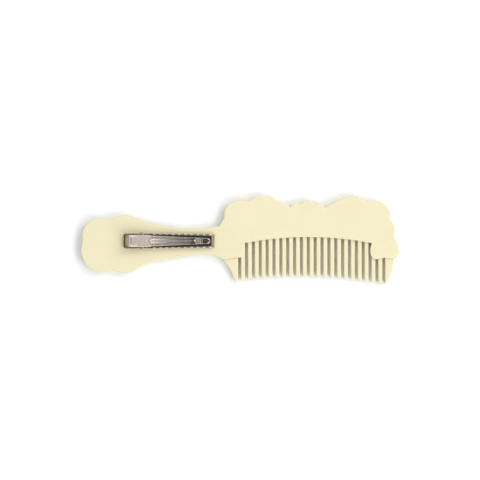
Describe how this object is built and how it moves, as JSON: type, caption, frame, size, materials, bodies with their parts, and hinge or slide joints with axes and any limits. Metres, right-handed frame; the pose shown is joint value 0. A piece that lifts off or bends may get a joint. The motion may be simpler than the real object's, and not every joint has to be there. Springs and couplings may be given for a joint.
{
  "type": "hair clip",
  "caption": "Comb-shaped acetate hair ornament in two glued layers, with a sprung toothed steel clip on its back that grips a lock of hair.",
  "frame": {"origin": "middle of the ornament's outline, at the level of its front face", "axes": "+X from the handle's end to the comb's far end, +Y away from the teeth, +Z out of the back face, where the clip is"},
  "size_m": [0.1244, 0.0342, 0.0098],
  "materials": {
    "front_acetate": "polished cream cellulose acetate",
    "back_acetate": "polished cream cellulose acetate",
    "clear_glue": "cured clear adhesive",
    "nickel_plated_steel": "stamped, nickel plated",
    "satin_steel": "stamped, satin plated",
    "pin_steel": "plated wire",
    "spring_steel": "drawn spring wire"
  },
  "bodies": {
    "ornament": {"comb_sheet": "front_acetate", "back_sheet": "back_acetate", "clip_adhesive": "clear_glue", "base_plate": "nickel_plated_steel", "pivot_pin": "pin_steel", "torsion_spring": "spring_steel"},
    "lever": {"lever": "satin_steel"}
  },
  "joints": [
    {"name": "lever_hinge", "type": "hinge", "parent": "ornament", "child": "lever", "pos_m": [-0.03835, -0.00044, 0.00685], "axis": [0, -1, 0], "range_deg": [0, 30], "stiffness_Nm_per_rad": 0.02, "springref_deg": -114.59, "deforming": ["torsion_spring"]}
  ]
}
